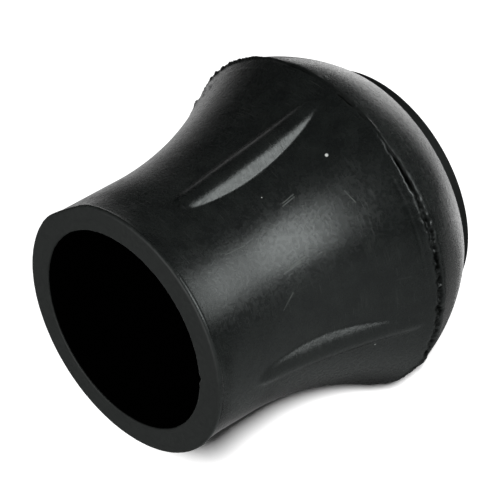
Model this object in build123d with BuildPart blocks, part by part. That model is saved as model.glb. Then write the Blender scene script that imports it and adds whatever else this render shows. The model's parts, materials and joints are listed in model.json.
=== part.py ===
from build123d import *
from math import cos, hypot, radians, tan
import os

# Moulded rubber foot for a round tube leg: a blind sleeve that widens into a ribbed flare,
# with a parting line at its widest ring, a rounded shoulder and a smaller tread disc.
# Millimetres. The foot stands on its tread: +Z runs up the bore, the origin is the middle of
# the tread's face, and the four ribs stand on the diagonals.

# The tube and how tightly the sleeve holds it
tube_diameter = 25.0
grip = 0.25                  # the bore is this much smaller than the tube, on the radius
bore_radius = tube_diameter / 2 - grip
floor_thickness = 9.0        # rubber under the tube's end
floor_chamfer = 1.0          # corner between the bore's wall and its floor

# Sleeve, which swells a little towards its mouth
height = 39.4
sleeve_wall = 2.7
sleeve_length = 8.8          # from the mouth down to the flare
mouth_swell = 0.4            # how much the mouth's edge stands out from the sleeve
mouth_swell_length = 4.0
rim_height = 0.5             # bevel of the mouth's outer edge
rim_width = 0.24
rim_chamfer = 0.25           # bevel of its inner edge

# Flare and shoulder, which meet at the parting line
flange_radius = 20.5
parting_height = 10.3
flash_height = 0.5           # pinched rubber along the parting line
flash_proud = 0.18

# Tread
tread_radius = 15.0
tread_height = 2.3
tread_step = 1.3             # ledge between the tread and the shoulder
tread_chamfer = 0.3
groove_count = 3
groove_width = 1.5
groove_depth = 1.2
centre_land = 2.6            # radius of the pad inside the first groove
outer_land = 2.2             # width of the ring outside the last groove

# Ribs
rib_count = 4
rib_drop = 6.6               # from the mouth down to a rib's upper tip
rib_toe_gap = 0.5            # from the parting line up to a rib's lower end
rib_nose_length = 1.9        # the upper tip's quick rise out of the sleeve
rib_nose_height = 0.65       # crest above the sleeve, at the end of that rise
rib_height = 1.27            # crest above the flare, half way along
rib_flank_angle = 44.0       # slope of a rib's sides
rib_crest_round = 2.0
rib_root_depth = 2.0         # how deep the ridge reaches under its crest
rib_burial = 0.18            # depth of the crest's two ends under the skin

sleeve_radius = bore_radius + sleeve_wall
mouth_radius = sleeve_radius + mouth_swell
mouth_z = height
rim_z = mouth_z - rim_height
swell_bottom = mouth_z - mouth_swell_length
flare_top = mouth_z - sleeve_length
flash_top = parting_height + flash_height / 2
flash_bottom = parting_height - flash_height / 2
shoulder_radius = tread_radius + tread_step
groove_pitch = (tread_radius - outer_land - groove_width - centre_land) / (groove_count - 1)

# The shoulder is part of a ball whose middle lies on the foot's axis
shoulder_middle = (flange_radius**2 - shoulder_radius**2 + flash_bottom**2 - tread_height**2) / (
    2 * (flash_bottom - tread_height)
)
shoulder_ball = hypot(flange_radius, shoulder_middle - flash_bottom)

flare_rise = flare_top - flash_top
flare_run = flange_radius - sleeve_radius


def flare_radius(z):
    """Radius of the flare's skin at height z: a parabola that leaves the sleeve smoothly."""
    return sleeve_radius + flare_run * ((flare_top - z) / flare_rise) ** 2


# A rib: a ridge with a rounded crest, swept along a line that bridges the hollow of the flare.
# It is drawn over +X; its two ends dive under the skin, so the flare cuts it to a leaf shape.
nose_z = mouth_z - rib_drop
crest_z = nose_z - rib_nose_length
toe_z = flash_top + rib_toe_gap
middle_z = (crest_z + toe_z) / 2
nose_point = (sleeve_radius - rib_burial, nose_z)
crest_point = (sleeve_radius + rib_nose_height, crest_z)
middle_point = (flare_radius(middle_z) + rib_height, middle_z)
toe_point = (flare_radius(toe_z) - rib_burial, toe_z)

rib_apex = rib_crest_round * (1 / cos(radians(rib_flank_angle)) - 1)
rib_half_width = (rib_root_depth + rib_apex) / tan(radians(rib_flank_angle))

with BuildPart() as rib:
    with BuildLine(Plane.XZ) as crest:
        ridge = ThreePointArc(crest_point, middle_point, toe_point)
        nose = TangentArc(crest_point, nose_point, tangent=-(ridge % 0))
    with BuildSketch(Plane(nose @ 1, x_dir=(0, 1, 0), z_dir=-(nose % 1))) as section:
        with BuildLine():
            Polyline(
                (-rib_half_width, -rib_root_depth),
                (0, rib_apex),
                (rib_half_width, -rib_root_depth),
                close=True,
            )
        make_face()
        fillet(section.vertices().sort_by(Axis.Y)[-1], rib_crest_round)
    sweep(path=crest.line)

with BuildPart() as rubber_foot:
    # Half section: out along the tread, up the skin, over the rim and down the blind bore
    with BuildSketch(Plane.XZ):
        with BuildLine():
            Polyline((0, 0), (tread_radius - tread_chamfer, 0), (tread_radius, tread_chamfer),
                     (tread_radius, tread_height), (shoulder_radius, tread_height))
            RadiusArc((flange_radius, flash_bottom), (shoulder_radius, tread_height), shoulder_ball)
            Polyline((flange_radius, flash_bottom), (flange_radius + flash_proud, parting_height),
                     (flange_radius, flash_top))
            Bezier((flange_radius, flash_top), (sleeve_radius, (flare_top + flash_top) / 2),
                   (sleeve_radius, flare_top))
            Polyline((sleeve_radius, flare_top), (sleeve_radius, swell_bottom), (mouth_radius, rim_z),
                     (mouth_radius - rim_width, mouth_z), (bore_radius + rim_chamfer, mouth_z),
                     (bore_radius, mouth_z - rim_chamfer), (bore_radius, floor_thickness + floor_chamfer),
                     (bore_radius - floor_chamfer, floor_thickness), (0, floor_thickness), (0, 0))
        make_face()
    revolve(axis=Axis.Z)
    with PolarLocations(0, rib_count, start_angle=180 / rib_count):
        add(rib.part)

    # Rings of grooves in the tread, which grip the ground
    with BuildSketch(Plane.XY):
        for groove in reversed(range(groove_count)):
            inner = centre_land + groove * groove_pitch
            Circle(inner + groove_width)
            Circle(inner, mode=Mode.SUBTRACT)
    extrude(amount=groove_depth, mode=Mode.SUBTRACT)

rubber_foot.part.label = "rubber_foot"
os.makedirs("parts", exist_ok=True)
export_step(rubber_foot.part, "parts/rubber_foot.step")
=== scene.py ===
import json
import math

import bpy
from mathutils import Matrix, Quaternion, Vector, noise


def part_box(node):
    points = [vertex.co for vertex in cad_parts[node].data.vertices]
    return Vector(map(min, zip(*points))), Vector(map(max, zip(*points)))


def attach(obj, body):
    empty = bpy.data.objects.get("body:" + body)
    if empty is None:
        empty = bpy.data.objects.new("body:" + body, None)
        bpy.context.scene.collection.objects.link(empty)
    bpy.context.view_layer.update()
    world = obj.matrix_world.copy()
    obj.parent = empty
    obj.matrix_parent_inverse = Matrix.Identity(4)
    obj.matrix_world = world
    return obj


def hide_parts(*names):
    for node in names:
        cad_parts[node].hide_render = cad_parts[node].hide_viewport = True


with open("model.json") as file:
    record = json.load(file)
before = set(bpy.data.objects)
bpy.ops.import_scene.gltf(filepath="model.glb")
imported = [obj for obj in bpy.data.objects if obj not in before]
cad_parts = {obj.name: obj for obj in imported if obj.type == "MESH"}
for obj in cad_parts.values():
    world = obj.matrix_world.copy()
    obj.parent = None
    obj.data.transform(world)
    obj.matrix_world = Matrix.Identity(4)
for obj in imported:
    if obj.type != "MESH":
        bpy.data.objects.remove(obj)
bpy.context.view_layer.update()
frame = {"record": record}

MM = 0.001

# A moulded rubber foot for a tube leg, standing on its tread. Its sizes are in millimetres, which
# MM turns into metres. Angles round the foot run from +X towards +Y.

# ---------------------------------------------------------------- sizes
# The height, the widest ring and the bore come from the frame, and the rest are the product's own.
low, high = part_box("rubber_foot")
height = (high.z - low.z) / MM
flash_radius = (high.x - low.x) / 2 / MM
bore_radius = frame["record"]["mounts"][0]["dims"]["r_mm"]
bore_floor = 9.0
bore_floor_round = 1
bore_mouth_round = 0.22
sleeve_wall = 2.7
sleeve_length = 8.8
sleeve_radius = bore_radius + sleeve_wall
mouth_swell = 0.4  # how much wider the sleeve's radius is at the mouth
mouth_radius = sleeve_radius + mouth_swell
swell_length = 4.0
rim_round = 0.45
rim_lean = 0.02
flare_top = height - sleeve_length
parting_z = 10.3
flash_proud = 0.18
flash_half = 0.25
flange_radius = flash_radius - flash_proud
flare_bottom = parting_z + flash_half
shoulder_top = parting_z - flash_half
tread_radius = 15.0
tread_height = 2.2
tread_round = 0.3
tread_root_round = 0.15
ledge_width = 1.35
ledge_round = 0.2
shoulder_radius = tread_radius + ledge_width
groove_count = 3
groove_width = 1.5
groove_depth = 1.2
groove_pitch = 4.35
groove_bevel = 0.12
centre_land = 2.6  # radius of the pad inside the first groove

rib_drop = 6.0  # from the mouth to the rib's nose
rib_toe_gap = 0.5
rib_nose_length = 2.6
rib_nose_height = 0.58
rib_middle_height = 1.05
rib_burial = 0.18  # how deep the crest's two ends lie under the skin
rib_margin = 0.6  # further than this beyond its two ends a rib has no influence
rib_blend = 0.07  # rounding where a rib meets the skin
rib_curve = 0.27  # the section falls from the crest as a parabola, in mm for each square mm
rib_flank = math.tan(math.radians(37))  # and goes on at this slope
rib_shoulder = rib_flank / (2 * rib_curve)  # from this far away from the crest
rib_nose = height - rib_drop
rib_crest = rib_nose - rib_nose_length  # where the arc of the crest ends and the nose begins
rib_toe = flare_bottom + rib_toe_gap
rib_middle = (rib_crest + rib_toe) / 2

# Points round the foot: few where it is plain, many along the torn parting line
COARSE = 120
MEDIUM = 240
FINE = 480
FINEST = 1440
RIB_CROWDING = 0.64  # 0 spaces the points of a ring evenly, and more crowds them onto the ribs
RING_GAP = 0.45


# ---------------------------------------------------------------- outline of the skin
def flare_radius(z):
    """The skin above the parting line: a parabola that leaves the sleeve smoothly."""
    below = max(0.0, flare_top - z)
    swell = max(0.0, z - (height - swell_length)) / swell_length
    fall = below / (flare_top - flare_bottom)
    return sleeve_radius + (flange_radius - sleeve_radius) * fall**2 + mouth_swell * swell**2


def shoulder_ball(z):
    """The ball-shaped shoulder between the flash and the ledge."""
    drop = shoulder_top - tread_height
    middle = (flange_radius**2 - shoulder_radius**2 + shoulder_top**2 - tread_height**2) / (2 * drop)
    ball = math.hypot(flange_radius, middle - shoulder_top)
    return math.sqrt(ball**2 - (z - middle) ** 2)


def parting_radius(rise):
    """The unworn skin without its flash, rise millimetres above the parting line."""
    if abs(rise) <= flash_half:
        return flange_radius
    if rise > 0:
        return flare_radius(parting_z + rise)
    return shoulder_ball(parting_z + rise)


def corner(before, tip, after, steps):
    """A rounded corner: points on the parabola from one side of the tip to the other."""
    points = []
    for step in range(steps + 1):
        t = step / steps
        a, b, c = (1 - t) ** 2, 2 * t * (1 - t), t * t
        points.append(tuple(a * p + b * q + c * r for p, q, r in zip(before, tip, after)))
    return points


def straight(start, end, gap):
    """Points between two ends, without the ends, at most a gap apart."""
    count = max(1, math.ceil(math.dist(start, end) / gap))
    return [
        (start[0] + (end[0] - start[0]) * i / count, start[1] + (end[1] - start[1]) * i / count)
        for i in range(1, count)
    ]


def bore_outline():
    """The blind bore: its floor, its corner and its wall, nearly up to the mouth."""
    floor_edge = (bore_radius - bore_floor_round, bore_floor)
    wall_foot = (bore_radius, bore_floor + bore_floor_round)
    line = [(bore_radius * share, bore_floor) for share in (0.25, 0.5, 0.75)]
    line += corner(floor_edge, (bore_radius, bore_floor), wall_foot, 5)
    line += straight(wall_foot, (bore_radius, height - 3), 2.0)
    return line


def mouth_outline():
    """The mouth, from just inside the bore over its flat face to the skin."""
    wall_end = (bore_radius, height - bore_mouth_round)
    face_start = (bore_radius + bore_mouth_round, height)
    face_end = (mouth_radius - rim_round, height)
    rim_end = (mouth_radius - rim_lean, height - rim_round)
    line = straight((bore_radius, height - 3.5), (bore_radius, height - 0.3), 0.5)
    line += corner(wall_end, (bore_radius, height), face_start, 4)
    line += straight(face_start, face_end, RING_GAP)
    line += corner(face_end, (mouth_radius + rim_lean, height), rim_end, 7)
    return line


def flare_outline():
    """The skin from the mouth down to the worn zone, with close rings where it has fine lines."""
    top = height - rim_round
    bottom = parting_z + 1.8
    trim = [top - 0.15, top - 0.25, top - 0.35, top - 0.45]
    count = math.ceil((top - 0.6 - bottom) / RING_GAP)
    even = [top - 0.6 - (top - 0.6 - bottom) * i / count for i in range(count + 1)]
    second_line = [parting_z + rise for rise in (1.62, 1.5, 1.38)]
    return [(flare_radius(z), z) for z in trim + even + second_line]


def parting_outline():
    """Close rings on both sides of the parting line, with their heights above that line."""
    above = (1.2, 0.95, 0.75, 0.6, 0.5, 0.4, 0.3, 0.2, 0.1)
    below = (-0.1, -0.2, -0.3, -0.45, -0.65, -0.9)
    return [(parting_radius(rise), rise) for rise in above + (0.0,) + below]


def shoulder_outline():
    """The shoulder from under the parting line to the tread's lower edge."""
    top = parting_z - 1.2
    span = top - tread_height - 0.3
    count = 12
    ball_end = (shoulder_ball(tread_height + ledge_round), tread_height + ledge_round)
    ledge_start = (shoulder_radius - ledge_round, tread_height)
    ledge_end = (tread_radius + tread_root_round, tread_height)
    wall_start = (tread_radius, tread_height - tread_root_round)
    wall_end = (tread_radius, tread_round)
    levels = [top - span * i / count for i in range(count + 1)]
    line = [(shoulder_ball(z), z) for z in levels]
    line += corner(ball_end, (shoulder_radius, tread_height), ledge_start, 4)
    line += straight(ledge_start, ledge_end, 0.4)
    line += corner(ledge_end, (tread_radius, tread_height), wall_start, 3)
    line += straight(wall_start, wall_end, 0.4)
    line += corner(wall_end, (tread_radius, 0), (tread_radius - tread_round, 0), 4)
    return line


def tread_outline():
    """The tread's face with its ring grooves, from the edge to the middle."""
    bevel = groove_bevel
    line = []
    for groove in reversed(range(groove_count)):
        inner = centre_land + groove * groove_pitch
        outer = inner + groove_width
        line += [(outer + bevel, 0), (outer, bevel)]
        line += [(outer, groove_depth - bevel), (outer - bevel, groove_depth)]
        line += [(inner + bevel, groove_depth), (inner, groove_depth - bevel)]
        line += [(inner, bevel), (inner - bevel, 0)]
    line += [(centre_land / 2, 0)]
    return line


# ---------------------------------------------------------------- ribs
def circle_through(a, b, c):
    """Middle and radius of the circle through three points."""
    d = 2 * (a[0] * (b[1] - c[1]) + b[0] * (c[1] - a[1]) + c[0] * (a[1] - b[1]))
    sa, sb, sc = (p[0] ** 2 + p[1] ** 2 for p in (a, b, c))
    x = (sa * (b[1] - c[1]) + sb * (c[1] - a[1]) + sc * (a[1] - b[1])) / d
    y = (sa * (c[0] - b[0]) + sb * (a[0] - c[0]) + sc * (b[0] - a[0])) / d
    return x, y, math.dist((x, y), a)


crest_circle = circle_through(
    (sleeve_radius + rib_nose_height, rib_crest),
    (flare_radius(rib_middle) + rib_middle_height, rib_middle),
    (flare_radius(rib_toe) - rib_burial, rib_toe),
)


def crest_radius(z):
    """The line of a rib's crest: an arc that bridges the hollow of the flare, with a rounded nose."""
    x, y, r = crest_circle
    on_arc = x - math.sqrt(max(0.0, r * r - (min(z, rib_crest) - y) ** 2))
    if z <= rib_crest:
        return on_arc
    slope = (rib_crest - y) / math.sqrt(r * r - (rib_crest - y) ** 2)
    length = rib_nose - rib_crest
    drop = rib_nose_height + slope * length + rib_burial
    rise = z - rib_crest
    return on_arc + slope * rise - drop * (rise / length) ** 2


def rib_turn(angle):
    """Angle away from the nearest rib, as the ribs stand on the diagonals."""
    quarter = math.radians(90)
    return angle % quarter - quarter / 2


def rib_radius(z, aside):
    """Radius of a rib's skin at height z, aside millimetres away from its crest."""
    if not rib_toe - rib_margin < z < rib_nose + rib_margin:
        return 0.0
    aside = abs(aside)
    fall = rib_curve * min(aside, rib_shoulder) ** 2 + rib_flank * max(0.0, aside - rib_shoulder)
    # The fall is measured square to the crest, which leans, and is longer on the level
    x, y, r = crest_circle
    lean = math.sqrt(1 - min(0.5, ((z - y) / r) ** 2))
    return crest_radius(z) - fall / lean


def smooth_max(a, b, blend):
    """The larger of two, with the corner between them rounded."""
    h = max(blend - abs(a - b), 0.0) / blend
    return max(a, b) + h * h * blend / 4


# ---------------------------------------------------------------- how the foot is worn
# Middle and reach of each kind of wear, in degrees round the foot. The camera sees about 188 to
# 368 degrees, and the two places behind are made up.
LIP = (8, 34)
LIP_BEHIND = (110, 45)
TORN = (234, 56)
TORN_BEHIND = (150, 40)
SCRAP = (205, 9)
CRACKS = (280, 17), (309, 14), (328, 14)
SECOND_LINE = (262, 24)
SECOND_LINE_FAR = (345, 30)
TRIM_LINE = (238, 18)
FRINGE = (20, 14)
DENT = (3, 20)
DENT_CORNER = (17, 4)
NICK = (235, 3.0)

# The sleeve is squeezed out of round at its mouth, and the bore is off centre there. Each fades
# away down to its reach, in millimetres under the mouth.
OVAL_SHARE = 0.0236
OVAL_REACH = 15.9
OVAL_ANGLE = math.radians(58.5)
SHIFT = 0.22
SHIFT_REACH = 12.0
SHIFT_ANGLE = math.radians(82)

# Fine lines, frayed rubber, the dent, the nick and the skin's unevenness, in millimetres
LINE_WIDTH = 0.1
SECOND_LINE_RISE = 1.5  # above the parting line
SECOND_LINE_PROUD = 0.035
TRIM_LINE_DROP = 0.8  # under the mouth
TRIM_LINE_DEPTH = 0.08
FRINGE_RISE = 2.0  # above the parting line
FRINGE_HALF = 2.2
FRINGE_PROUD = 0.13
FRINGE_TEETH = 0.48
DENT_DEPTH = 0.48
DENT_CORNER_PROUD = 0.08
NICK_DEPTH = 0.25
NICK_DROP = 0.8  # under the mouth
NICK_WIDTH = 0.3  # out from the bore's wall
NICK_CRUMBS = 0.03
LIP_CRUMBS = 0.02
SKIN_WAVES = 0.010
SKIN_RIPPLES = 0.005


def degrees_of(angle):
    """An angle in degrees, from 0 to 360."""
    return math.degrees(angle) % 360


def patch(degrees, middle, reach):
    """1 at one angle round the foot, falling smoothly to 0 at reach degrees away."""
    away = abs((degrees - middle + 180) % 360 - 180) / reach
    return (1 - away * away) ** 2 if away < 1 else 0.0


def bell(distance, width):
    """1 at no distance, about a third at one width, and next to nothing beyond two."""
    return math.exp(-((distance / width) ** 2))


def unevenness(angle, z, size, seed):
    """Smooth random relief from -1 to 1 over the skin, with bumps of about that size."""
    reach = flange_radius / size
    return noise.noise(Vector((math.cos(angle) * reach + seed, math.sin(angle) * reach, z / size)))


def mouth_oval(angle, z):
    """How many times wider the soft sleeve is here, as its mouth is slightly out of round."""
    grown = max(0.0, 1 - (height - z) / OVAL_REACH)
    return 1 + OVAL_SHARE * grown * math.cos(2 * (angle - OVAL_ANGLE))


def mouth_dent(angle, z):
    """How far the sleeve's lip is dented, less the small bump beside the dent."""
    degrees = degrees_of(angle)
    below = height - z
    dent = DENT_DEPTH * patch(degrees, *DENT) * max(0.0, 1 - below / swell_length) ** 2
    return dent - DENT_CORNER_PROUD * patch(degrees, *DENT_CORNER) * max(0.0, 1 - below)


def bore_shift(angle, z):
    """How far the bore's wall is moved outwards here."""
    return SHIFT * max(0.0, 1 - (height - z) / SHIFT_REACH) * math.cos(angle - SHIFT_ANGLE)


def parting_wear(angle):
    """How far the flash stands out as a ragged lip, is torn away, or is split by a crack."""
    degrees = degrees_of(angle)
    scrap = patch(degrees, *SCRAP)
    lip = max(patch(degrees, *LIP), 0.5 * patch(degrees, *LIP_BEHIND), scrap)
    torn = max(patch(degrees, *TORN), 0.6 * patch(degrees, *TORN_BEHIND))
    crack = max(patch(degrees, *place) for place in CRACKS)
    return lip, min(1.0, 1.6 * torn) * (1 - 0.8 * scrap), crack


def flash_fin(angle, rise, lip, torn, crack):
    """How far the flash stands out: a thin fin, toothed at the lip, and gone where it is torn."""
    teeth = max(0.0, unevenness(angle, 0, size=0.9, seed=3))
    crumbs = unevenness(angle, rise, size=0.22, seed=11)
    even = 0.13 + 0.07 * unevenness(angle, 0, size=2.6, seed=5)
    ragged = 0.16 + 0.30 * teeth + 0.08 * crumbs
    left_whole = (1 - torn) * (1 - 0.7 * crack)
    half_width = 0.13 + 0.08 * lip
    return max(0.0, (even + lip * ragged) * left_whole) * bell(rise, half_width)


def trench_depth(angle, rise, torn, crack):
    """Depth of the fine trench along the parting line, deep where the rubber is torn or split."""
    middle = 0.24 * (1 - torn) + (0.07 + 0.14 * torn) * unevenness(angle, 0, size=0.7, seed=21)
    width = 0.13 + 0.25 * torn + 0.03 * unevenness(angle, 0, size=0.9, seed=3)
    split = crack * max(0.35, 0.6 + 1.2 * unevenness(angle, 0, size=1.3, seed=31))
    depth = 0.02 + 0.34 * split
    depth += torn * max(0.12, 0.45 + 0.35 * unevenness(angle, 0, size=0.8, seed=41))
    return depth * bell(rise - middle, width)


def shreds(angle, rise, torn):
    """Shreds of rubber that stand up where the flash is torn away."""
    return 0.30 * torn * max(0.0, unevenness(angle, 0, size=0.5, seed=101)) * bell(rise, 0.25)


def crumbling(angle, rise, torn, crack):
    """Fine crumbs along the parting line, roughest where it is torn or split."""
    frayed = (0.25 + 0.75 * max(torn, crack)) * bell(rise, 0.4)
    return (0.075 + 0.10 * torn) * unevenness(angle, rise, size=0.22, seed=11) * frayed


def tear_and_shade_mark(angle, rise, trench, crack):
    """How much dark shows: torn rubber, and painted shade that deepens with the trench, in patches in the
    trench and all along a crack.
    """
    dark = 0.55 + 0.9 * unevenness(angle, rise, size=0.45, seed=121)
    dark += 0.8 * unevenness(angle, rise, size=0.25, seed=131)
    tear = min(1.0, trench / 0.25) * min(1.0, max(0.1, dark) + crack)
    return max(tear, 0.45 * crack * bell(rise, 0.4))


def skin_radius(angle, radius, z):
    """The slightly uneven skin above the parting line, with its ribs, fine lines, fringe and dent."""
    degrees = degrees_of(angle)
    radius = smooth_max(radius, rib_radius(z, radius * math.sin(rib_turn(angle))), rib_blend)
    second_line = patch(degrees, *SECOND_LINE) + 0.5 * patch(degrees, *SECOND_LINE_FAR)
    radius += SECOND_LINE_PROUD * second_line * bell(z - parting_z - SECOND_LINE_RISE, LINE_WIDTH)
    trimmed = patch(degrees, *TRIM_LINE) * (0.5 + unevenness(angle, 0, size=0.5, seed=71))
    radius -= TRIM_LINE_DEPTH * trimmed * bell(z - height + TRIM_LINE_DROP, LINE_WIDTH)
    near_fringe = max(0.0, 1 - ((z - parting_z - FRINGE_RISE) / FRINGE_HALF) ** 2)
    fringe = patch(degrees, *FRINGE) * near_fringe
    radius += fringe * max(0.0, FRINGE_PROUD + FRINGE_TEETH * unevenness(angle, z, size=0.6, seed=111))
    radius -= mouth_dent(angle, z)
    radius += SKIN_WAVES * unevenness(angle, z, size=4.0, seed=81)
    return radius + SKIN_RIPPLES * unevenness(angle, z, size=1.3, seed=91)


# ---------------------------------------------------------------- the points of the skin
# Each function gives the radius, the height and the marks of one point, from the outline's radius
# and height. The marks tell the material where the rubber is cut or dull ("matt"), where it is
# torn or worn dark, or darkened with painted shade in the trench and along a crack ("torn"), and
# where it is inside the bore ("inside"), which the material paints near-black as shade.
GROUND_MATT = 0.1  # matt of the ledge and of what is under it
WORN_WALL = 0.7  # torn of the tread's wall
FACE_DROP = 0.28  # under the mouth, where the matt of the cut face begins
FACE_FADE = 0.2
BORE_DROP = 0.15  # under the mouth, where the inside of the bore begins
BORE_EDGE = 0.4  # out from the bore's wall, where it ends


def bore_point(angle, radius, z):
    return radius * mouth_oval(angle, z) + bore_shift(angle, z), z, {"inside": 1.0}


def mouth_point(angle, radius, z):
    nick = 0.0
    if radius < bore_radius + NICK_WIDTH:
        nick = NICK_DEPTH * patch(degrees_of(angle), *NICK)
        nick += NICK_CRUMBS * unevenness(angle, z, size=0.6, seed=7)
    nick *= min(1.0, max(0.0, 1 - (height - z) / NICK_DROP))
    outward = (radius - bore_radius) / (mouth_radius - bore_radius)
    lip = LIP_CRUMBS * unevenness(angle, z, size=1.1, seed=17)
    lip += (1 - outward) * bore_shift(angle, z) - outward**2 * mouth_dent(angle, z)
    matt = min(1.0, max(0.0, (z - height + FACE_DROP) / FACE_FADE))
    on_face = z > height - BORE_DROP or radius > bore_radius + BORE_EDGE
    inside = 0.0 if on_face else 1.0
    return (radius + nick + lip) * mouth_oval(angle, z), z, {"matt": matt, "inside": inside}


def flare_point(angle, radius, z):
    return skin_radius(angle, radius, z) * mouth_oval(angle, z), z, {}


def parting_point(angle, radius, rise):
    lip, torn, crack = parting_wear(angle)
    trench = trench_depth(angle, rise, torn, crack)
    worn = flash_fin(angle, rise, lip, torn, crack) + shreds(angle, rise, torn) - trench
    worn += crumbling(angle, rise, torn, crack)
    wobble = 0.10 * unevenness(angle, 0, size=3.5, seed=51)
    wobble += 0.05 * (torn + lip) * unevenness(angle, 0, size=0.8, seed=61)
    z = parting_z + rise + wobble * bell(rise, 0.8)
    return radius + worn, z, {"torn": tear_and_shade_mark(angle, rise, trench, crack)}


def shoulder_point(angle, radius, z):
    ground = GROUND_MATT if z < tread_height + 0.05 else 0.0
    worn_wall = WORN_WALL if z < tread_height - 0.1 else 0.0
    return radius, z, {"matt": ground, "torn": worn_wall}


def tread_point(angle, radius, z):
    return radius, z, {"matt": 1.0}


# ---------------------------------------------------------------- the piece
def angle_of(step, count):
    """Angle of one point of a ring: the points stand closer together on the four ribs."""
    quarter = math.pi / 2
    ring_share = 4 * step / count
    beside = 2 * (ring_share % 1) - 1
    warped = (1 - RIB_CROWDING) * beside + RIB_CROWDING * beside**3
    return (math.floor(ring_share) + 0.5 + warped / 2) * quarter


class Skin:
    """A closed mesh built ring by ring, where neighbouring rings may differ in their number of points."""

    def __init__(self):
        self.points = []
        self.faces = []
        self.marks = {"matt": [], "torn": [], "inside": []}
        self.last = []

    def point(self, radius, angle, z, **marks):
        self.points.append((radius * math.cos(angle) * MM, radius * math.sin(angle) * MM, z * MM))
        for name, values in self.marks.items():
            values.append(marks.get(name, 0.0))
        return len(self.points) - 1

    def ring(self, count, place):
        """Add a ring: place(angle) gives the radius, the height and the marks of each point."""
        ring = []
        for step in range(count):
            angle = angle_of(step, count)
            radius, z, marks = place(angle)
            ring.append(self.point(radius, angle, z, **marks))
        self.join(self.last, ring)
        self.last = ring

    def join(self, before, after):
        """Faces between two rings, or between a ring and a single middle point."""
        wide, narrow = (after, before) if len(after) >= len(before) else (before, after)
        step = len(wide) // len(narrow)
        for i, corner_point in enumerate(narrow):
            fan = [wide[(i * step + k) % len(wide)] for k in range(step + 1)]
            beyond = narrow[(i + 1) % len(narrow)]
            if len(narrow) > 1 and step == 1:
                face_list = [(corner_point, beyond, fan[1], fan[0])]
            else:
                face_list = [(corner_point, b, a) for a, b in zip(fan, fan[1:])]
                if len(narrow) > 1:
                    face_list.append((corner_point, beyond, fan[-1]))
            if wide is before:
                face_list = [tuple(reversed(face)) for face in face_list]
            self.faces += face_list

    def mesh(self, name):
        mesh = bpy.data.meshes.new(name)
        mesh.from_pydata(self.points, [], self.faces)
        for mark, values in self.marks.items():
            mesh.attributes.new(mark, "FLOAT", "POINT").data.foreach_set("value", values)
        mesh.validate()
        mesh.shade_smooth()
        return mesh


def foot_mesh():
    """The whole skin of the foot as one closed mesh, from the bore's floor round to the tread."""
    zones = (
        (COARSE, bore_outline(), bore_point),
        (FINE, mouth_outline(), mouth_point),
        (FINE, flare_outline(), flare_point),
        (FINEST, parting_outline(), parting_point),
        (FINE, shoulder_outline(), shoulder_point),
        (MEDIUM, tread_outline(), tread_point),
    )
    skin = Skin()
    skin.last = [skin.point(0.0, 0.0, bore_floor, inside=1.0)]
    for count, outline, zone_point in zones:
        for radius, z in outline:
            skin.ring(count, lambda angle: zone_point(angle, radius, z))
    skin.join(skin.last, [skin.point(0.0, 0.0, 0.0, matt=1.0)])
    return skin.mesh("rubber_foot_skin")


# ---------------------------------------------------------------- material
# Fine scratches that the photograph shows: the two ends, each as an angle in degrees and a height
# in millimetres, and the width
HAIRLINES = (
    ((257.2, 26.8), (252.2, 28.6), 0.13),
    ((290.2, 23.2), (291.0, 21.5), 0.08),
    ((291.3, 23.0), (292.0, 21.4), 0.07),
    ((268.4, 23.9), (267.2, 26.0), 0.11),
    ((267.2, 24.6), (266.2, 27.0), 0.09),
    ((284.8, 32.5), (284.2, 29.7), 0.05),
    ((283.0, 16.6), (277.5, 16.2), 0.07),
    ((276.8, 22.0), (280.8, 20.5), 0.05),
)
# Specks of dust as an angle, a height and a radius: those on the side that the photograph shows,
# and some made up for the far side
SPECKS = (
    ((297.2, 15.9), 0.13),
    ((3.8, 4.1), 0.11),
    ((218.2, 17.0), 0.05),
    ((298.0, 24.5), 0.04),
    ((20.0, 25.0), 0.08),
    ((118.0, 21.0), 0.09),
    ((160.0, 30.0), 0.07),
    ((75.0, 14.0), 0.10),
)
SPECK_EDGE = 1.8  # a speck fades out at this many times its radius

DARK_RUBBER = (0.0052, 0.0062, 0.0060, 1)
DUSTY_RUBBER = (0.0100, 0.0120, 0.0110, 1)
SCUFFED = (0.030, 0.032, 0.030, 1)
SCRATCHED = (0.050, 0.055, 0.050, 1)
CUT_DARK = (0.022, 0.025, 0.024, 1)
CUT_PALE = (0.030, 0.034, 0.032, 1)
# Torn rubber, also used as painted shade in the trench and along the cracks of the parting line
TORN_RUBBER_AND_SHADE = (0.0030, 0.0034, 0.0030, 1)
# Painted shade: the inside of the bore is darkened to near-black
BORE_PAINTED_SHADE = (0.0022, 0.0024, 0.0022, 1)
DUST = (0.55, 0.56, 0.54, 1)

# Roughness that each kind of surface adds to the moulded skin's own
SCRATCH_ROUGHER = 0.12
MATT_ROUGHER = 0.32
DULL_ROUGHER = 0.45

# Roughness of dust, and the gloss and the fine relief of the moulded skin
DUST_ROUGHNESS = 0.8
SKIN_GLOSS = 0.5
BUMP_STRENGTH = 0.5
BUMP_DISTANCE = 0.045


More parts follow.
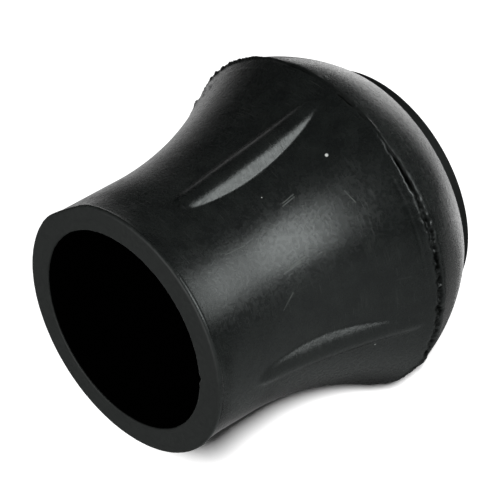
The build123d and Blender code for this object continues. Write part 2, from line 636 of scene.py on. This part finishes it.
class Nodes:
    """Short names for the nodes of one material."""

    def __init__(self, name):
        self.material = bpy.data.materials.new(name)
        self.material.use_nodes = True
        self.tree = self.material.node_tree
        self.shader = self.tree.nodes["Principled BSDF"]

    def add(self, kind, **settings):
        node = self.tree.nodes.new(kind)
        for key, value in settings.items():
            setattr(node, key, value)
        return node

    def feed(self, socket, value):
        if isinstance(value, bpy.types.NodeSocket):
            self.tree.links.new(value, socket)
        else:
            socket.default_value = value

    def math(self, operation, a, b=0.0, clamp=False):
        node = self.add("ShaderNodeMath", operation=operation, use_clamp=clamp)
        self.feed(node.inputs[0], a)
        self.feed(node.inputs[1], b)
        return node.outputs[0]

    def spread(self, value, low_in, high_in, low_out=0.0, high_out=1.0):
        node = self.add("ShaderNodeMapRange")
        for socket, number in zip(node.inputs, (value, low_in, high_in, low_out, high_out)):
            self.feed(socket, number)
        return node.outputs[0]

    def mix(self, share, a, b):
        node = self.add("ShaderNodeMix", data_type="RGBA")
        self.feed(node.inputs["Factor"], share)
        self.feed(node.inputs["A"], a)
        self.feed(node.inputs["B"], b)
        return node.outputs["Result"]

    def noise(self, place, scale, detail=2.0, rough=0.5):
        node = self.add("ShaderNodeTexNoise")
        self.feed(node.inputs["Vector"], place)
        self.feed(node.inputs["Scale"], scale)
        self.feed(node.inputs["Detail"], detail)
        self.feed(node.inputs["Roughness"], rough)
        return node.outputs["Fac"]

    def vector(self, operation, a, b=None, scale=None):
        node = self.add("ShaderNodeVectorMath", operation=operation)
        self.feed(node.inputs[0], a)
        if b is not None:
            self.feed(node.inputs[1], b)
        if scale is not None:
            self.feed(node.inputs["Scale"], scale)
        return node.outputs["Value" if operation in ("DISTANCE", "DOT_PRODUCT") else "Vector"]

    def place(self):
        """The shaded point in the object's own coordinates, in millimetres."""
        return self.vector("SCALE", self.add("ShaderNodeTexCoord").outputs["Object"], scale=1 / MM)

    def coordinates(self, place):
        """The x, y and z of a point."""
        node = self.add("ShaderNodeSeparateXYZ")
        self.feed(node.inputs[0], place)
        return node.outputs[0], node.outputs[1], node.outputs[2]

    def mark(self, name):
        return self.add("ShaderNodeAttribute", attribute_name=name).outputs["Fac"]


def skin_place(degrees, z):
    """A point on the skin, in millimetres, at an angle round the foot and a height."""
    angle = math.radians(degrees)
    radius = flare_radius(z) if z > parting_z else shoulder_ball(z)
    return radius * math.cos(angle), radius * math.sin(angle), z


def hairline(n, place, start, end, width):
    """1 along a fine straight scratch between two points of the skin, 0 away from it."""
    first, last = Vector(skin_place(*start)), Vector(skin_place(*end))
    run = last - first
    along = n.vector("DOT_PRODUCT", n.vector("SUBTRACT", place, first), run)
    share = n.math("DIVIDE", along, run.length_squared, clamp=True)
    nearest = n.vector("ADD", n.vector("SCALE", run, scale=share), first)
    return n.spread(n.vector("DISTANCE", place, nearest), width / 2, width, 1.0, 0.0)


def hairlines(n, place):
    """1 on every fine scratch, 0 elsewhere."""
    lines = 0.0
    for start, end, width in HAIRLINES:
        lines = n.math("MAXIMUM", lines, hairline(n, place, start, end, width))
    return lines


def dust_specks(n, place):
    """1 on every speck of dust, 0 elsewhere."""
    specks = 0.0
    for middle, radius in SPECKS:
        off = n.vector("DISTANCE", place, skin_place(*middle))
        specks = n.math("MAXIMUM", specks, n.spread(off, radius, radius * SPECK_EDGE, 1.0, 0.0))
    return specks


def scuffs(n, place):
    """Clouds of faint scuffs: fine lines round the foot, and slanting ones down it."""
    across, along, up = n.coordinates(place)
    flat = n.add("ShaderNodeCombineXYZ")
    n.feed(flat.inputs[0], n.math("MULTIPLY", n.math("ARCTAN2", along, across), sleeve_radius))
    n.feed(flat.inputs[1], up)

    def streaks(turns, rises, tilt):
        """Noise that is stretched over the skin into fine lines."""
        turned = n.add("ShaderNodeMapping")
        n.feed(turned.inputs["Vector"], flat.outputs[0])
        turned.inputs["Rotation"].default_value[2] = math.radians(tilt)
        turned.inputs["Scale"].default_value = (turns, rises, 1.0)
        return n.noise(turned.outputs[0], scale=1.0)

    level = n.spread(streaks(turns=0.35, rises=9.0, tilt=4.0), 0.60, 0.72)
    slanting = n.spread(streaks(turns=5.5, rises=0.30, tilt=28.0), 0.68, 0.76)
    clouds = n.spread(n.noise(place, scale=0.22), 0.45, 0.62)
    return n.math("MULTIPLY", n.math("MAXIMUM", level, slanting), clouds)


class Rubber(Nodes):
    """Moulded black rubber: a soft mottled sheen, fine scuffs, a few specks of dust, matt cut faces, and
    painted shade in the bore and the torn trench.
    """

    def __init__(self, name):
        super().__init__(name)
        place = self.place()
        self.cloud = self.noise(place, scale=0.45, detail=5.0, rough=0.65)
        self.mottle = self.noise(place, scale=2.2, detail=3.0, rough=0.6)
        self.grain = self.noise(place, scale=9.0, detail=2.0, rough=0.6)
        self.lines = hairlines(self, place)
        self.scratches = self.math("MAXIMUM", scuffs(self, place), self.lines)
        self.specks = dust_specks(self, place)
        self.matt = self.mark("matt")
        self.torn = self.mark("torn")
        self.inside = self.mark("inside")
        self.dull = self.math("MAXIMUM", self.torn, self.inside)
        self.feed(self.shader.inputs["Base Color"], self.colour())
        self.feed(self.shader.inputs["Roughness"], self.roughness())
        self.feed(self.shader.inputs["Specular IOR Level"], self.gloss())
        self.feed(self.shader.inputs["Normal"], self.bump())

    def colour(self):
        fine_dust = self.spread(self.grain, 0.30, 0.70, 0.6, 1.0)
        dusty = self.math("MULTIPLY", self.spread(self.cloud, 0.35, 0.70), fine_dust)
        cut = self.mix(self.spread(self.mottle, 0.3, 0.7), CUT_DARK, CUT_PALE)
        colour = self.mix(dusty, DARK_RUBBER, DUSTY_RUBBER)
        colour = self.mix(self.math("MULTIPLY", self.scratches, 0.6), colour, SCUFFED)
        colour = self.mix(self.lines, colour, SCRATCHED)
        colour = self.mix(self.matt, colour, cut)
        # Torn rubber, and painted shade in the trench and along the cracks
        colour = self.mix(self.torn, colour, TORN_RUBBER_AND_SHADE)
        # Painted shade: the inside of the bore is darkened
        colour = self.mix(self.inside, colour, BORE_PAINTED_SHADE)
        return self.mix(self.specks, colour, DUST)

    def roughness(self):
        sheen = self.spread(self.cloud, 0.3, 0.7, 0.235, 0.275)
        rough = self.math("ADD", sheen, self.spread(self.mottle, 0.3, 0.7, -0.05, 0.08))
        rough = self.math("ADD", rough, self.math("MULTIPLY", self.scratches, SCRATCH_ROUGHER))
        rough = self.math("ADD", rough, self.math("MULTIPLY", self.matt, MATT_ROUGHER))
        rough = self.math("ADD", rough, self.math("MULTIPLY", self.dull, DULL_ROUGHER), clamp=True)
        return self.math("MAXIMUM", rough, self.math("MULTIPLY", self.specks, DUST_ROUGHNESS))

    def gloss(self):
        return self.math("MULTIPLY", self.math("SUBTRACT", 1.0, self.dull), SKIN_GLOSS, clamp=True)

    def bump(self):
        coarse = self.math("MULTIPLY", self.mottle, 0.9)
        relief = self.math("ADD", coarse, self.math("MULTIPLY", self.grain, 0.45))
        relief = self.math("SUBTRACT", relief, self.math("MULTIPLY", self.scratches, 0.25))
        bump = self.add("ShaderNodeBump")
        bump.inputs["Strength"].default_value = BUMP_STRENGTH
        bump.inputs["Distance"].default_value = BUMP_DISTANCE * MM
        self.feed(bump.inputs["Height"], relief)
        return bump.outputs["Normal"]


foot = bpy.data.objects.new("rubber_foot_skin", foot_mesh())
bpy.context.scene.collection.objects.link(foot)
foot.data.materials.append(Rubber("black_rubber").material)
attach(foot, "root")
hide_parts("rubber_foot")


# ---------------------------------------------------------------- camera
def direction(azimuth, elevation):
    """Unit vector from the foot towards that azimuth (0 is -Y, 90 is +X) and elevation."""
    a, e = math.radians(azimuth), math.radians(elevation)
    return Vector((math.sin(a) * math.cos(e), -math.cos(a) * math.cos(e), math.sin(e)))


# The foot lies on its flank in the photograph, so the camera is rolled to show it that way
CAMERA_AZIMUTH = 8.25
CAMERA_ELEVATION = 33.3
CAMERA_ROLL = 119.38
CAMERA_DISTANCE = 358.26
LENS = 227.7
SENSOR_WIDTH = 36
aim = Vector((0.948, -0.440, 20.0)) * MM
back = direction(CAMERA_AZIMUTH, CAMERA_ELEVATION)
roll = Quaternion((0, 0, 1), -math.radians(CAMERA_ROLL))
camera_data = bpy.data.cameras.new("camera")
camera_data.lens = LENS
camera_data.sensor_width = SENSOR_WIDTH
camera_data.clip_start = 0.01
camera_data.clip_end = 20
camera = bpy.data.objects.new("camera", camera_data)
camera.rotation_mode = "QUATERNION"
camera.rotation_quaternion = (-back).to_track_quat("-Z", "Y") @ roll
camera.location = aim + back * CAMERA_DISTANCE * MM
bpy.context.scene.collection.objects.link(camera)
bpy.context.scene.camera = camera

# ---------------------------------------------------------------- light and floor
# The foot and the floor have lamps of their own, so that the black rubber gets only the soft
# panels that it mirrors and the pale floor keeps the foot's shadow.
foot_only = bpy.data.collections.new("lit_by_studio_lamps")
foot_only.objects.link(foot)
floor_only = bpy.data.collections.new("lit_by_floor_lamp")
WHITE = (1, 1, 1)
COOL = (0.94, 1.0, 0.99)


def panel(name, azimuth, elevation, distance, width, tall, radiance, colour=WHITE, lights=foot_only):
    """A soft rectangular lamp that faces the foot; sizes in metres."""
    lamp = bpy.data.lights.new(name, "AREA")
    lamp.shape = "RECTANGLE"
    lamp.size = width
    lamp.size_y = tall
    lamp.energy = radiance * math.pi * width * tall
    lamp.color = colour
    holder = bpy.data.objects.new(name, lamp)
    away = direction(azimuth, elevation)
    holder.rotation_euler = (-away).to_track_quat("-Z", "Y").to_euler()
    holder.location = Vector((0, 0, height * MM / 2)) + away * distance
    holder.visible_camera = False
    holder.light_linking.receiver_collection = lights
    bpy.context.scene.collection.objects.link(holder)


# The two strips make the highlight along the sleeve and the flare, and the two panels under the
# foot light its shoulder. The side bounce stands for the white surface on which the flank lies in
# the photograph.
panel("front_strip", 4.8, -14.5, distance=0.6, width=0.33, tall=0.28, radiance=5.9, colour=COOL)
panel("low_strip", 4.8, -40.5, distance=0.6, width=0.31, tall=0.28, radiance=2.4, colour=COOL)
panel("under_panel", 178.0, -62.0, distance=0.8, width=0.55, tall=0.54, radiance=1.5)
panel("under_right", 232.0, -58.0, distance=0.8, width=0.50, tall=0.44, radiance=0.24)
panel("side_bounce", 277.0, -10.0, distance=0.8, width=2.6, tall=1.0, radiance=0.32, colour=COOL)
panel("back_strip", 188.0, -4.0, distance=0.8, width=0.40, tall=0.30, radiance=1.6)
panel("top_light", 40.0, 82.0, distance=0.8, width=0.35, tall=0.35, radiance=8.0)
panel("floor_lamp", 13.3, 32.6, distance=8.0, width=0.45, tall=0.45, radiance=2900.0, lights=floor_only)


def stage_disc(name, radius, z):
    """A flat disc round the foot that belongs to the stage; sizes in metres."""
    sides = 96
    turns = [2 * math.pi * i / sides for i in range(sides)]
    ring = [(math.cos(turn) * radius, math.sin(turn) * radius, z) for turn in turns]
    mesh = bpy.data.meshes.new(name)
    mesh.from_pydata(ring, [], [tuple(range(sides))])
    disc = bpy.data.objects.new(name, mesh)
    bpy.context.scene.collection.objects.link(disc)
    return disc


def floor():
    """The pale floor under the foot."""
    disc = stage_disc("floor", 3.0, 0.0)
    n = Nodes("floor_white")
    n.shader.inputs["Base Color"].default_value = (0.85, 0.85, 0.85, 1)
    n.shader.inputs["Roughness"].default_value = 1.0
    n.shader.inputs["Specular IOR Level"].default_value = 0.0
    disc.data.materials.append(n.material)
    disc.visible_glossy = False
    disc.visible_shadow = False
    floor_only.objects.link(disc)


def reflected_floor():
    """A glowing disc, seen only in reflections: a painted reflection of the white floor behind the foot,
    with a painted shadow.
    """
    depth = -0.2
    shadow_middle = (-24.0, 14.0, depth)
    shadow_rim = (22.0, 36.0)
    shadow_level = 0.06
    right_end = (56.0, 31.0)
    left_end = (-26.0, 0.0)
    left_level = 0.55
    white_level = 0.7
    clear_in_front = (4.0, 12.0)
    clear_on_left = (-60.0, -44.0)
    disc = stage_disc("reflected_floor", 0.4, depth * MM)
    n = Nodes("reflected_white")
    place = n.place()
    x, y, _ = n.coordinates(place)

    # Painted shadow: the glow falls to a dark patch where the foot's shadow would lie, and fades at the
    # sides
    painted_light = n.spread(n.vector("DISTANCE", place, shadow_middle), *shadow_rim, shadow_level)
    sides = n.math("MULTIPLY", n.spread(x, *right_end), n.spread(x, *left_end, left_level, 1.0))
    # The disc glows, though it is no lamp, as a painted reflection of the floor
    glow = n.add("ShaderNodeEmission")
    n.feed(glow.inputs["Strength"], n.math("MULTIPLY", n.math("MULTIPLY", painted_light, sides), white_level))

    behind = n.math("MULTIPLY", n.spread(y, *clear_in_front), n.spread(x, *clear_on_left))
    clear = n.add("ShaderNodeBsdfTransparent")
    blend = n.add("ShaderNodeMixShader")
    n.feed(blend.inputs[0], behind)
    n.feed(blend.inputs[1], clear.outputs[0])
    n.feed(blend.inputs[2], glow.outputs[0])
    n.feed(n.tree.nodes["Material Output"].inputs["Surface"], blend.outputs[0])
    n.tree.nodes.remove(n.shader)
    disc.data.materials.append(n.material)
    disc.visible_camera = False
    disc.visible_diffuse = False
    disc.visible_shadow = False


def studio_world():
    """White where the camera looks past the floor, and nearly dark for the rubber's sheen."""
    nearly_dark = 0.03
    world = bpy.data.worlds.new("studio")
    world.use_nodes = True
    nodes, links = world.node_tree.nodes, world.node_tree.links
    background = nodes["Background"]
    background.inputs["Color"].default_value = (1, 1, 1, 1)
    path = nodes.new("ShaderNodeLightPath")
    level = nodes.new("ShaderNodeMapRange")
    level.inputs["To Min"].default_value = nearly_dark
    level.inputs["To Max"].default_value = 1.0
    links.new(path.outputs["Is Camera Ray"], level.inputs["Value"])
    links.new(level.outputs["Result"], background.inputs["Strength"])
    bpy.context.scene.world = world


floor()
reflected_floor()
studio_world()
bpy.context.scene.view_settings.view_transform = "Standard"
